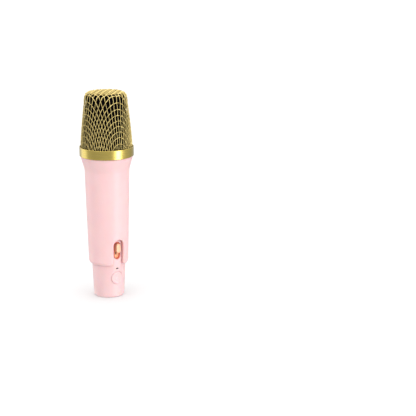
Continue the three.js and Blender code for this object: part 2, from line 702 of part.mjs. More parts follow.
// ---------- assembly ----------
add('core_tube', coreTube(), PINK);
add('outer_sleeve', outerSleeve(), PINK);
add('end_cap', endCap(), PINK);
add('grille_ring', grilleRing(), GOLD);
add('grille_basket', basketShell(0, MESH_WALL, RING_BOTTOM + 0.8 + GAP, FINE), GOLD);
add('foam_liner', basketShell(MESH_WALL + GAP, FOAM_WALL, FOAM_FOOT, COARSE), FOAM);
add('head_collar', headCollar(), BLACK_PLASTIC);
add('capsule_cradle', capsuleCradle(), BLACK_RUBBER);
buildCapsule();
add('switch_tray', switchTray(), CORAL);
add('slide_knob', slideKnob(), ROSE_GOLD);
add('slide_switch_body', slideSwitchBody(), STEEL);
add('slide_switch_lever', block(0, -8.85, KNOB_Z - 0.55, 1.2, 1.7, 1.1), BLACK_PLASTIC);
buildButtonAndLight();
buildBoard();
buildUsbSocket();
add('chassis', chassis(), BLACK_PLASTIC);
add('battery_cell', cell(), CELL_WRAP);
buildLeads();
buildScrews();

export default microphone;
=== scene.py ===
"""Looks for a wireless karaoke microphone: woven gold grille, gold ring, satin pink handle, slide
switch and power button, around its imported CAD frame. The object's sizes are in millimetres. The
camera, the lights and the paper are in metres."""

import json
import math

import bpy
import numpy as np
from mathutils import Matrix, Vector
from mathutils.geometry import delaunay_2d_cdt


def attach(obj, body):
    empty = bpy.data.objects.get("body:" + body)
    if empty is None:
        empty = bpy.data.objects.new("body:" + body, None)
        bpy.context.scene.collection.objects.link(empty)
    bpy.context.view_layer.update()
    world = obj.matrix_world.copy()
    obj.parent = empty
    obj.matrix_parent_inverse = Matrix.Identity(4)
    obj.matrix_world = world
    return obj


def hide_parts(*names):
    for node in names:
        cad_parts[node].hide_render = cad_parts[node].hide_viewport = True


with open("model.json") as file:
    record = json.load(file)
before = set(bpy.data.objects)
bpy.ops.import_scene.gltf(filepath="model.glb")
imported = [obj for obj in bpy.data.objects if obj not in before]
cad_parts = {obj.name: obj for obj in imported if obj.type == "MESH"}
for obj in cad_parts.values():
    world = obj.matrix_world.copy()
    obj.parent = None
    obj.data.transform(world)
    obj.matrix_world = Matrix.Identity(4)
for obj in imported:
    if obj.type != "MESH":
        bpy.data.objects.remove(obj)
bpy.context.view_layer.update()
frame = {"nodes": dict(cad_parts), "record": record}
MM = 0.001
ROUND = 256  # sides of the turned shells

# ---------- sizes that the shells share, in millimetres ----------
FOOT_RADIUS = 12.1
FOOT_ROUND = 1.6
GRIP_RADIUS = 13.5  # at the top of the part that shows
GRIP_BORE = 11.6
SLEEVE_BOTTOM = 27.2
SLEEVE_LOW_RADIUS = 15.75
SLEEVE_HIGH_RADIUS = 17.68
SLEEVE_CREASE_Z = 103.2
SLEEVE_TOP = 114.3
SLEEVE_TOP_RADIUS = 20.8
SLEEVE_BORE = 13.8
NOTCH_HALF = 4.72
NOTCH_TOP = 48.4
NOTCH_CORNER = 2.2
BUTTON_Z = 16.3
BUTTON_RADIUS = 5.0
LED_Z = 24.2
POCKET_Z = 39.1
POCKET_LENGTH = 12.8
POCKET_WIDTH = 4.7
POCKET_FLOOR = 11.2  # from the axis
TRAY_WALL = 0.4
TRAY_HALF = POCKET_WIDTH / 2 + TRAY_WALL
TRAY_LONG = POCKET_LENGTH / 2 + TRAY_WALL
KNOB_Z = 41.35
KNOB_FRONT = 15.8
MESH_RADIUS = 20.65
MESH_SKIRT = 123.0  # below this the basket's wall is upright
SHOULDER_ROUND = 4.6
SHOULDER_RADIUS = 12.4
SHOULDER_Z = 160.8
CROWN_ANGLE = 87  # where the shoulder meets the nearly flat crown, in degrees
RING_BOTTOM = 114.6
RING_TOP = 121.9
RING_RADIUS = 21.45
RING_SEAT = 19.3  # inner radius of the ring's lip, which the basket stands on
WIRE_RADIUS = 0.31
WIRE_THINNED = 0.75  # of that radius is left down the side, where the drawing stretched the wire


# ---------- camera, floor and light ----------
FRONT_TURN = 31  # degrees that the microphone's front faces to the right of the camera
LIGHT_TARGET = Vector((0, 0, 0.09))


def build_camera():
    """A long lens at the left of the microphone's front, looking slightly down and past it."""
    turn = math.radians(FRONT_TURN)
    yaw = math.radians(4.552)
    pitch = math.radians(14.17)
    reach, height = 1.0082, 0.3251
    camera = bpy.data.cameras.new("camera")
    camera.sensor_width = 36
    camera.lens = 112.38
    camera.clip_end = 50
    holder = bpy.data.objects.new("camera", camera)
    holder.location = (-reach * math.sin(turn), -reach * math.cos(turn), height)
    holder.rotation_euler = (math.pi / 2 - pitch, 0, -turn - yaw)
    bpy.context.scene.collection.objects.link(holder)
    bpy.context.scene.camera = holder


def add_area(name, azimuth, distance, height, width, tall, power):
    """A soft box at an azimuth counted from the camera's side, where 90 is its right hand."""
    angle = math.radians(azimuth - FRONT_TURN)
    place = Vector((math.sin(angle), -math.cos(angle), 0)) * distance + Vector((0, 0, height))
    light = bpy.data.lights.new(name, "AREA")
    light.shape = "RECTANGLE"
    light.size = width
    light.size_y = tall
    light.energy = power
    holder = bpy.data.objects.new(name, light)
    holder.location = place
    aim = LIGHT_TARGET - place
    holder.rotation_euler = aim.to_track_quat("-Z", "Y").to_euler()
    bpy.context.scene.collection.objects.link(holder)
    return holder


# how bright the studio is round the horizon, as (azimuth from the camera, brightness)
STUDIO_BANDS = [
    (-180, 0.5), (-145, 0.6), (-125, 1.2), (-104, 1.25), (-84, 0.5), (-60, 0.42), (20, 0.5),
    (36, 1.2), (45, 5.4), (55, 5.4), (68, 0.8), (95, 0.5), (125, 0.4), (180, 0.5),
]
BAND_PEAK = 6.0
DOME = 1.0  # brightness of the air above those bands
ZENITH = 2.0  # straight overhead
GLOW = 0.9  # what the white paper throws back up


def fade_to(nodes, links, height, start, end, under, brightness, smooth=False):
    """Fades a colour output to an even brightness while the view's height goes from start to end."""
    share = nodes.new("ShaderNodeMapRange")
    if smooth:
        share.interpolation_type = "SMOOTHSTEP"
    share.inputs["From Min"].default_value = start
    share.inputs["From Max"].default_value = end
    links.new(height, share.inputs["Value"])
    blend = nodes.new("ShaderNodeMix")
    blend.data_type = "RGBA"
    links.new(share.outputs["Result"], blend.inputs["Factor"])
    links.new(under, blend.inputs["A"])
    level = brightness / BAND_PEAK
    blend.inputs["B"].default_value = (level, level, level, 1)
    return blend.outputs["Result"]


def build_light():
    """A white studio: soft upright bands round the horizon for the gloss, and even light above."""
    world = bpy.data.worlds.new("studio")
    bpy.context.scene.world = world
    world.use_nodes = True
    nodes = world.node_tree.nodes
    links = world.node_tree.links
    back = nodes["Background"]
    way = nodes.new("ShaderNodeTexCoord")
    turn = nodes.new("ShaderNodeMapping")
    turn.inputs["Rotation"].default_value = (0, 0, math.radians(90 + FRONT_TURN))
    links.new(way.outputs["Generated"], turn.inputs["Vector"])
    azimuth = nodes.new("ShaderNodeTexGradient")
    azimuth.gradient_type = "RADIAL"
    links.new(turn.outputs["Vector"], azimuth.inputs["Vector"])
    bands = nodes.new("ShaderNodeValToRGB")
    bands.color_ramp.interpolation = "EASE"
    stops = bands.color_ramp.elements
    while len(stops) < len(STUDIO_BANDS):
        stops.new(0.5)
    for stop, (angle, power) in zip(stops, STUDIO_BANDS):
        stop.position = 0.5 + angle / 360
        level = power / BAND_PEAK
        stop.color = (level, level, level, 1)
    links.new(azimuth.outputs["Fac"], bands.inputs["Fac"])
    split = nodes.new("ShaderNodeSeparateXYZ")
    links.new(way.outputs["Generated"], split.inputs["Vector"])
    height = split.outputs["Z"]
    light = fade_to(nodes, links, height, -0.02, 0.30, bands.outputs["Color"], DOME, smooth=True)
    light = fade_to(nodes, links, height, 0.35, 0.8, light, ZENITH)
    light = fade_to(nodes, links, height, -0.35, -0.75, light, GLOW)
    links.new(light, back.inputs["Color"])
    back.inputs["Strength"].default_value = BAND_PEAK
    add_area("key_box", azimuth=48, distance=0.6, height=0.55, width=0.18, tall=0.5, power=0.2)
    for side, azimuth, power in (("left_fill", -62, 1.0), ("front_fill", -20, 0.45)):
        fill = add_area(side, azimuth, distance=0.9, height=0.3, width=0.6, tall=0.6, power=power)
        fill.visible_glossy = False


def build_floor():
    """White paper. Other rays than the camera's pass it, so that it doesn't wash out the metal."""
    bpy.ops.mesh.primitive_plane_add(size=16, location=(0, 0, 0))
    floor = bpy.context.object
    floor.name = "floor"
    floor.visible_glossy = False
    floor.visible_diffuse = False
    floor.visible_shadow = False
    paper = new_material("floor_paper", (0.65, 0.655, 0.655), 0.9)
    paper.node_tree.nodes["Principled BSDF"].inputs["Specular IOR Level"].default_value = 0.0
    floor.data.materials.append(paper)


def build_backdrop():
    """White paper all round, which only the camera sees, so that low views have no grey horizon."""
    bpy.ops.mesh.primitive_uv_sphere_add(radius=6, segments=64, ring_count=32)
    backdrop = bpy.context.object
    backdrop.name = "backdrop"
    for ray in ("glossy", "diffuse", "transmission", "shadow"):
        setattr(backdrop, "visible_" + ray, False)
    paper = new_material("backdrop_paper", (0, 0, 0), 1.0)
    shader = paper.node_tree.nodes["Principled BSDF"]
    shader.inputs["Specular IOR Level"].default_value = 0.0
    shader.inputs["Emission Color"].default_value = (1, 1, 1, 1)
    shader.inputs["Emission Strength"].default_value = 1.0
    backdrop.data.materials.append(paper)


# ---------- materials ----------
def new_material(name, color, roughness, metallic=0.0):
    material = bpy.data.materials.new(name)
    material.use_nodes = True
    shader = material.node_tree.nodes["Principled BSDF"]
    shader.inputs["Base Color"].default_value = (*color, 1)
    shader.inputs["Roughness"].default_value = roughness
    shader.inputs["Metallic"].default_value = metallic
    return material


def mixed(nodes, links, factor, under, over):
    """Blends a colour output with a fixed colour by a factor output."""
    blend = nodes.new("ShaderNodeMixRGB")
    links.new(factor, blend.inputs["Fac"])
    links.new(under, blend.inputs["Color1"])
    blend.inputs["Color2"].default_value = (*over, 1)
    return blend.outputs["Color"]


def textured(name, dark, light, scale, rough, metallic=0.0, bump=0.0, bump_scale=None,
             stretch=(1, 1, 1), detail=4.0, settings=None, painted_shade=None, deep=None):
    """A procedural finish: noise between two colours and two roughnesses, and a fine bump.

    The colour for narrow gaps is painted shade: an ambient occlusion node mixes it in where creases,
    holes and the undersides of edges fall into shade. deep is the colour of what lies behind the
    pocket's floor line, further back than the walls."""
    material = new_material(name, light, rough[0], metallic)
    nodes = material.node_tree.nodes
    links = material.node_tree.links
    shader = nodes["Principled BSDF"]
    for socket, value in (settings or {}).items():
        shader.inputs[socket].default_value = value
    place = nodes.new("ShaderNodeTexCoord")
    mapping = nodes.new("ShaderNodeMapping")
    mapping.inputs["Scale"].default_value = stretch
    links.new(place.outputs["Object"], mapping.inputs["Vector"])
    noise = nodes.new("ShaderNodeTexNoise")
    noise.inputs["Scale"].default_value = scale
    noise.inputs["Detail"].default_value = detail
    links.new(mapping.outputs["Vector"], noise.inputs["Vector"])
    ramp = nodes.new("ShaderNodeValToRGB")
    ramp.color_ramp.elements[0].position = 0.35
    ramp.color_ramp.elements[1].position = 0.65
    ramp.color_ramp.elements[0].color = (*dark, 1)
    ramp.color_ramp.elements[1].color = (*light, 1)
    links.new(noise.outputs["Fac"], ramp.inputs["Fac"])
    finish = ramp.outputs["Color"]
    if deep:
        depth = nodes.new("ShaderNodeSeparateXYZ")
        links.new(place.outputs["Object"], depth.inputs["Vector"])
        line = nodes.new("ShaderNodeMapRange")
        line.inputs["From Min"].default_value = -(POCKET_FLOOR + 0.55) * MM
        line.inputs["From Max"].default_value = -(POCKET_FLOOR + 0.3) * MM
        links.new(depth.outputs["Y"], line.inputs["Value"])
        finish = mixed(nodes, links, line.outputs["Result"], finish, deep)
    # painted shade: ambient occlusion darkens the colour in narrow gaps, creases and under edges
    if painted_shade:
        gap = nodes.new("ShaderNodeAmbientOcclusion")
        gap.samples = 8
        gap.inputs["Distance"].default_value = 3 * MM
        painted_shade_share = nodes.new("ShaderNodeMapRange")
        painted_shade_share.inputs["From Min"].default_value = 0.85
        painted_shade_share.inputs["From Max"].default_value = 0.1
        links.new(gap.outputs["AO"], painted_shade_share.inputs["Value"])
        finish = mixed(nodes, links, painted_shade_share.outputs["Result"], finish, painted_shade)
    links.new(finish, shader.inputs["Base Color"])
    spread = nodes.new("ShaderNodeMapRange")
    spread.inputs["From Min"].default_value = 0.3
    spread.inputs["From Max"].default_value = 0.7
    spread.inputs["To Min"].default_value = rough[0]
    spread.inputs["To Max"].default_value = rough[1]
    links.new(noise.outputs["Fac"], spread.inputs["Value"])
    links.new(spread.outputs["Result"], shader.inputs["Roughness"])
    if bump:
        grain = nodes.new("ShaderNodeTexNoise")
        grain.inputs["Scale"].default_value = bump_scale or scale * 6
        grain.inputs["Detail"].default_value = 3
        links.new(mapping.outputs["Vector"], grain.inputs["Vector"])
        relief = nodes.new("ShaderNodeBump")
        relief.inputs["Strength"].default_value = bump
        relief.inputs["Distance"].default_value = 0.0002
        links.new(grain.outputs["Fac"], relief.inputs["Height"])
        links.new(relief.outputs["Normal"], shader.inputs["Normal"])
    return material


def build_materials():
    pink_dark, pink_light = (0.82, 0.53, 0.535), (0.84, 0.553, 0.558)
    soft = {"Subsurface Weight": 0.2, "Subsurface Scale": 0.003, "Specular IOR Level": 0.45}
    return {
        # the pink carries painted shade in its gaps: the notch, the button's ring and under the
        # sleeve's edge
        "pink_shell": textured("pink_satin", pink_dark, pink_light, 60, (0.33, 0.4), bump=0.12,
                               bump_scale=5200, settings=soft, painted_shade=(0.77, 0.46, 0.47)),
        "coral_tray": textured("coral", (0.72, 0.16, 0.10), (0.80, 0.20, 0.13), 300, (0.3, 0.42),
                               bump=0.1, bump_scale=4000, deep=(0.98, 0.52, 0.27)),
        "rose_gold": textured("rose_gold", (0.78, 0.42, 0.26), (0.84, 0.49, 0.31), 400,
                              (0.38, 0.48), metallic=0.25, bump=0.1, bump_scale=3000,
                              stretch=(1, 1, 0.1)),
        "gold_ring": textured("brushed_gold", (0.72, 0.55, 0.10), (0.77, 0.59, 0.12), 700,
                              (0.21, 0.24), metallic=1.0, bump=0.008, bump_scale=1800,
                              stretch=(0.15, 0.15, 1.6),
                              settings={"Coat Weight": 0.7, "Coat IOR": 1.8,
                                        "Coat Roughness": 0.16}),
        "gold_mesh": textured("gold_wire", (0.64, 0.50, 0.18), (0.84, 0.68, 0.29), 900,
                              (0.28, 0.38), metallic=1.0, bump=0.08, bump_scale=2500),
        "black_foam": textured("black_foam", (0.0008, 0.0008, 0.001), (0.004, 0.004, 0.005), 1400,
                               (0.75, 0.95), bump=1.0, bump_scale=1600,
                               settings={"Specular IOR Level": 0.0}),
        "black_plastic": textured("black_plastic", (0.01, 0.01, 0.011), (0.016, 0.016, 0.018),
                                  200, (0.45, 0.6), bump=0.3, bump_scale=4000),
        "black_rubber": textured("black_rubber", (0.008, 0.008, 0.008), (0.014, 0.014, 0.014),
                                 300, (0.75, 0.9), bump=0.4, bump_scale=3000),
        "plain_steel": textured("plain_steel", (0.42, 0.42, 0.44), (0.56, 0.56, 0.58), 500,
                                (0.22, 0.4), metallic=1.0, bump=0.15, bump_scale=2600),
        "dark_magnet": textured("dark_magnet", (0.09, 0.09, 0.1), (0.15, 0.15, 0.16), 600,
                                (0.35, 0.5), metallic=0.9, bump=0.3, bump_scale=3000),
        "copper": textured("copper_winding", (0.40, 0.12, 0.04), (0.62, 0.24, 0.1), 900,
                           (0.25, 0.4), metallic=1.0, bump=0.8, bump_scale=3000,
                           stretch=(0.05, 0.05, 3)),
        "clear_film": textured("film", (0.6, 0.54, 0.36), (0.7, 0.64, 0.45), 200, (0.15, 0.25),
                               bump=0.1, bump_scale=2000),
        "black_felt": textured("black_felt", (0.012, 0.012, 0.014), (0.03, 0.03, 0.034), 2500,
                               (0.85, 0.98), bump=1.0, bump_scale=3500),
        "board_green": textured("board_green", (0.01, 0.09, 0.03), (0.018, 0.13, 0.05), 900,
                                (0.25, 0.4), bump=0.3, bump_scale=2400),
        "chip_black": textured("chip_black", (0.011, 0.012, 0.013), (0.02, 0.021, 0.023), 1500,
                               (0.5, 0.65), bump=0.4, bump_scale=6000),
        "cell_wrap": textured("cell_wrap", (0.035, 0.17, 0.5), (0.05, 0.22, 0.58), 60,
                              (0.15, 0.3), bump=0.15, bump_scale=900),
        "white_plastic": textured("white_plastic", (0.78, 0.76, 0.7), (0.86, 0.84, 0.8), 400,
                                  (0.3, 0.45), bump=0.1, bump_scale=3000),
        "smoked_lens": textured("smoked_lens", (0.03, 0.012, 0.014), (0.05, 0.02, 0.024), 400,
                                (0.08, 0.16), bump=0.05, bump_scale=2000,
                                settings={"Coat Weight": 0.6}),
        "wire_red": textured("wire_red", (0.40, 0.01, 0.01), (0.5, 0.018, 0.015), 300,
                             (0.35, 0.5), bump=0.15, bump_scale=2500),
        "wire_black": textured("wire_black", (0.009, 0.009, 0.009), (0.014, 0.014, 0.014), 300,
                               (0.35, 0.5), bump=0.15, bump_scale=2500),
        "wire_white": textured("wire_white", (0.72, 0.70, 0.66), (0.8, 0.78, 0.74), 300,
                               (0.35, 0.5), bump=0.15, bump_scale=2500),
    }


# ---------- mesh helpers ----------
def make_object(name, points, faces, body, slot, *nodes, smooth_angle=35):
    """A mesh piece from points in millimetres, placed in the frame and ready to ride."""
    mesh = bpy.data.meshes.new(name)
    mesh.from_pydata([tuple(float(v) * MM for v in point) for point in points], [], faces)
    mesh.validate()
    mesh.shade_smooth()
    piece = bpy.data.objects.new(name, mesh)
    bpy.context.scene.collection.objects.link(piece)
    if smooth_angle:
        mesh.set_sharp_from_angle(angle=math.radians(smooth_angle))
    mesh.materials.append(MATERIALS[slot])
    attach(piece, body)
    if nodes:
        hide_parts(*nodes)
    return piece


def grid_faces(rows, columns, wrap_rows=False):
    """Quads of a grid that closes on itself along its columns, and along its rows if asked."""
    faces = []
    for i in range(rows if wrap_rows else rows - 1):
        below = i * columns
        above = ((i + 1) % rows) * columns
        for j in range(columns):
            k = (j + 1) % columns
            faces.append((below + j, below + k, above + k, above + j))
    return faces


def arc(centre_r, centre_z, radius, start, end, steps):
    """Points of an arc in a turned profile, with angles in degrees."""
    angles = np.radians(np.linspace(start, end, steps + 1))
    return [(centre_r + radius * math.cos(a), centre_z + radius * math.sin(a)) for a in angles]


def rounded_profile(corners, radius, steps=4):
    """A closed turned profile with every corner rounded by radius, or by its own third number."""
    out = []
    count = len(corners)
    for i, corner in enumerate(corners):
        here = np.array(corner[:2], float)
        before = np.array(corners[i - 1][:2], float) - here
        after = np.array(corners[(i + 1) % count][:2], float) - here
        reach = corner[2] if len(corner) > 2 else radius
        reach = min(reach, np.linalg.norm(before) * 0.45, np.linalg.norm(after) * 0.45)
        start = here + before / np.linalg.norm(before) * reach
        end = here + after / np.linalg.norm(after) * reach
        for step in range(steps + 1):
            t = step / steps
            out.append(tuple((1 - t) ** 2 * start + 2 * t * (1 - t) * here + t * t * end))
    return out


def turned(name, profile, body, slot, *nodes, sides=ROUND, smooth_angle=35):
    """A closed solid of revolution from a closed loop of (radius, height) points."""
    angles = np.arange(sides) * 2 * math.pi / sides
    points = []
    for radius, height in profile:
        points += [(radius * math.sin(a), -radius * math.cos(a), height) for a in angles]
    faces = grid_faces(len(profile), sides, wrap_rows=True)
    return make_object(name, points, faces, body, slot, *nodes, smooth_angle=smooth_angle)


# ---------- grille ----------
RIM_REACH = 16.6  # arc length from the crown's middle at which the weave turns down the side
RIM_COUNT = 5.28  # wires from the middle to that rim
# past the rim, the factors of the distance's powers in how far the weave reaches, and in its fold,
# which bends the wires into four columns of arches
REACH_TERMS = (0.1224, 0.00468, -0.0000705)
FOLD_TERMS = (0.0199, -0.0002)
WEAVE_FOOT = 116.6  # where the wires end, inside the ring
FOAM_FACE = 1.78  # depth of the foam's two faces behind the basket's outside
FOAM_BACK = 4.2
FOAM_FOOT = 119.0


def basket_profile(depth, foot):
    """The basket's turned outline moved inwards by depth: arrays of radius and height."""
    crown_angle = math.radians(CROWN_ANGLE)
    crown_r = SHOULDER_RADIUS + SHOULDER_ROUND * math.cos(crown_angle)
    crown_z = SHOULDER_Z + SHOULDER_ROUND * math.sin(crown_angle)
    bend = 1 / math.tan(crown_angle) / (2 * crown_r)
    crown = [(r, crown_z + bend * (crown_r**2 - r * r)) for r in np.linspace(0, crown_r, 40)]
    shoulder = arc(SHOULDER_RADIUS, SHOULDER_Z, SHOULDER_ROUND, CROWN_ANGLE, 0, 40)[1:]
    side = []
    drop = MESH_RADIUS - SHOULDER_RADIUS - SHOULDER_ROUND
    for z in np.linspace(SHOULDER_Z, foot, 160)[1:]:
        along = max(0.0, (z - MESH_SKIRT) / (SHOULDER_Z - MESH_SKIRT))
        side.append((MESH_RADIUS - drop * along**1.25, z))
    outline = np.array(crown + shoulder + side)
    run = np.gradient(outline, axis=0)
    run /= np.linalg.norm(run, axis=1)[:, None]
    inwards = np.stack([run[:, 1], -run[:, 0]], axis=1)
    return outline + inwards * depth, inwards


def weave_stretch(s):
    """How far the drawn weave reaches at arc length s, and its fold, with the slopes of both."""
    d = s - RIM_REACH
    if d <= 0:
        return s * RIM_COUNT / RIM_REACH, 0.0, RIM_COUNT / RIM_REACH, 0.0
    first, second, third = REACH_TERMS
    reach = RIM_COUNT + first * d + second * d**2 + third * d**3
    reach_slope = first + 2 * second * d + 3 * third * d**2
    first, second = FOLD_TERMS
    return reach, first * d + second * d**2, reach_slope, first + 2 * second * d


def solve_crossing(across, along, angle, s):
    """Where the weave's two coordinates have these values, by Newton's method from a guess."""
    for _ in range(12):
        reach, fold, reach_slope, fold_slope = weave_stretch(s)
        cos1, sin1 = math.cos(angle), math.sin(angle)
        cos3, sin3 = math.cos(3 * angle), math.sin(3 * angle)
        miss_across = reach * cos1 + fold * cos3 - across
        miss_along = reach * sin1 - fold * sin3 - along
        a = -reach * sin1 - 3 * fold * sin3
        b = reach_slope * cos1 + fold_slope * cos3
        c = reach * cos1 - 3 * fold * cos3
        d = reach_slope * sin1 - fold_slope * sin3
        size = a * d - b * c
        angle -= (d * miss_across - b * miss_along) / size
        s -= (a * miss_along - c * miss_across) / size
        if abs(miss_across) + abs(miss_along) < 1e-7:
            break
    return angle, s


def trace_wire(across, longest):
    """Half of one wire, from its middle down to the skirt: rows of angle, arc length, along."""
    step = 0.125  # of a cell
    if across < RIM_COUNT:
        angle, s = 0.0, across * RIM_REACH / RIM_COUNT
    else:
        low, high = RIM_REACH, longest + 20
        for _ in range(50):
            s = (low + high) / 2
            reach, fold, _slope, _fold_slope = weave_stretch(s)
            low, high = (s, high) if reach + fold < across else (low, s)
        angle = 0.0
    rows = []
    along = 0.0
    while s < longest:
        rows.append((angle, s, along))
        along += step
        radius = math.hypot(across, along)
        if radius <= RIM_COUNT:
            angle, s = math.atan2(along, across), radius * RIM_REACH / RIM_COUNT
        else:
            angle, s = solve_crossing(across, along, angle, max(s, RIM_REACH + 1e-6))
    return rows


def build_grille():
    """Two families of crimped wires, drawn down from a flat square weave into the basket."""
    profile, inwards = basket_profile(2 * WIRE_RADIUS, WEAVE_FOOT)
    reach = np.concatenate([[0], np.cumsum(np.linalg.norm(np.diff(profile, axis=0), axis=1))])
    longest = reach[-1]
    sides = 8
    around = np.arange(sides) * 2 * math.pi / sides
    points, faces = [], []

    def sweep(rows, family, index):
        data = np.array(rows)
        angles = data[:, 0] if family == 0 else math.pi / 2 - data[:, 0]
        radius = np.interp(data[:, 1], reach, profile[:, 0])
        height = np.interp(data[:, 1], reach, profile[:, 1])
        slope_r = -np.interp(data[:, 1], reach, inwards[:, 0])
        slope_z = -np.interp(data[:, 1], reach, inwards[:, 1])
        sign = (1 if family == 0 else -1) * (-1) ** index
        thick = WIRE_RADIUS * np.interp(data[:, 1], (RIM_REACH + 1, RIM_REACH + 5), (1, WIRE_THINNED))
        lift = sign * thick * 0.98 * np.cos(math.pi * data[:, 2])
        sin, cos = np.sin(angles), -np.cos(angles)
        outward = np.stack([slope_r * sin, slope_r * cos, slope_z], axis=1)
        line = np.stack([radius * sin, radius * cos, height], axis=1) + outward * lift[:, None]
        run = np.gradient(line, axis=0)
        run /= np.linalg.norm(run, axis=1)[:, None]
        side = np.cross(run, outward)
        side /= np.linalg.norm(side, axis=1)[:, None]
        up = np.cross(side, run)
        first = len(points)
        for place, s_axis, u_axis, size in zip(line, side, up, thick):
            for a in around:
                points.append(place + size * (math.cos(a) * s_axis + math.sin(a) * u_axis))
        count = len(line)
        for i in range(count - 1):
            for j in range(sides):
                k = (j + 1) % sides
                a, b = first + i * sides, first + (i + 1) * sides
                faces.append((a + j, b + j, b + k, a + k))
        faces.append(tuple(first + j for j in range(sides)))
        faces.append(tuple(first + (count - 1) * sides + j for j in reversed(range(sides))))

    limit = int(sum(weave_stretch(longest)[:2]))
    for index in range(limit + 1):
        half = trace_wire(index, longest)
        mirrored = [(-a, s, -t) for a, s, t in reversed(half[1:])]
        whole = mirrored + half
        if len(whole) < 12:
            continue
        for family in (0, 1):
            sweep(whole, family, index)
            if index:
                sweep([(math.pi - a, s, t) for a, s, t in whole], family, index)
    return make_object("woven_grille", points, faces, "handle", "gold_mesh", "grille_basket",
                       smooth_angle=None)


def build_foam():
    """The foam cup behind the weave, its face roughened like open cells."""
    outer = basket_profile(FOAM_FACE, FOAM_FOOT)[0]
    inner = basket_profile(FOAM_BACK, FOAM_FOOT)[0]
    thin = slice(None, None, 2)
    loop = [tuple(p) for p in outer[thin]] + [tuple(p) for p in inner[thin][::-1]]
    angles = np.arange(ROUND) * 2 * math.pi / ROUND
    rng = np.random.default_rng(5)
    points = []
    for radius, height in loop:
        grain = rng.uniform(-0.06, 0.02, ROUND) if radius > 1 else np.zeros(ROUND)
        for a, g in zip(angles, grain):
            reach = max(radius + g, 0.004)
            points.append((reach * math.sin(a), -reach * math.cos(a), height + g * 0.5))
    faces = grid_faces(len(loop), ROUND, wrap_rows=True)
    foam = make_object("foam_cup", points, faces, "handle", "black_foam", "foam_liner",
                       smooth_angle=None)


def build_ring():
    """The gold band, with a lip inside its foot that the basket stands on."""
    bore = MESH_RADIUS + 0.3
    lip = RING_BOTTOM + 0.8
    loop = rounded_profile([
        (RING_SEAT, RING_BOTTOM),
        (RING_RADIUS, RING_BOTTOM, 0.3),
        (RING_RADIUS, RING_TOP, 0.35),
        (bore, RING_TOP, 0.12),
        (bore, lip),
        (RING_SEAT, lip),
    ], 0.15)
    turned("gold_ring", loop, "handle", "gold_ring", "grille_ring")


# ---------- sleeve ----------
SLEEVE_UNROLL = 15.9  # radius at which the sleeve is unrolled flat


def sleeve_radius(z):
    """The sleeve's taper, very slightly bulged."""
    low = 30.0
    bulge = 0.08
    along = np.clip((z - low) / (SLEEVE_CREASE_Z - low), 0, 1)
    taper = SLEEVE_LOW_RADIUS + along * (SLEEVE_HIGH_RADIUS - SLEEVE_LOW_RADIUS)
    return taper + bulge * np.sin(math.pi * along)


def notch_boundary(spacing):
    """The sleeve's lower edge, unrolled: its points, and its normals into the sleeve."""
    half = SLEEVE_UNROLL * math.asin(NOTCH_HALF / SLEEVE_UNROLL)
    end = math.pi * SLEEVE_UNROLL
    wide = half + NOTCH_CORNER
    middle = NOTCH_TOP - NOTCH_HALF
    corner_z = SLEEVE_BOTTOM + NOTCH_CORNER
    path, normals = [], []
    for u in np.linspace(-end, -wide, int((end - wide) / spacing), endpoint=False):
        path.append((u, SLEEVE_BOTTOM))
        normals.append((0, 1))
    for a in np.radians(np.linspace(-90, 0, 14, endpoint=False)):
        path.append((-wide + NOTCH_CORNER * math.cos(a), corner_z + NOTCH_CORNER * math.sin(a)))
        normals.append((-math.cos(a), -math.sin(a)))
    for z in np.linspace(corner_z, middle, int((middle - corner_z) / spacing), endpoint=False):
        path.append((-half, z))
        normals.append((-1, 0))
    for a in np.radians(np.linspace(180, 90, 24, endpoint=False)):
        path.append((half * math.cos(a), middle + NOTCH_HALF * math.sin(a)))
        normals.append((math.cos(a), math.sin(a)))
    top = [(0.0, NOTCH_TOP)]
    path = path + top + [(-u, z) for u, z in reversed(path[1:])]
    normals = normals + [(0, 1)] + [(-n, m) for n, m in reversed(normals[1:])]
    return np.array(path), np.array(normals)


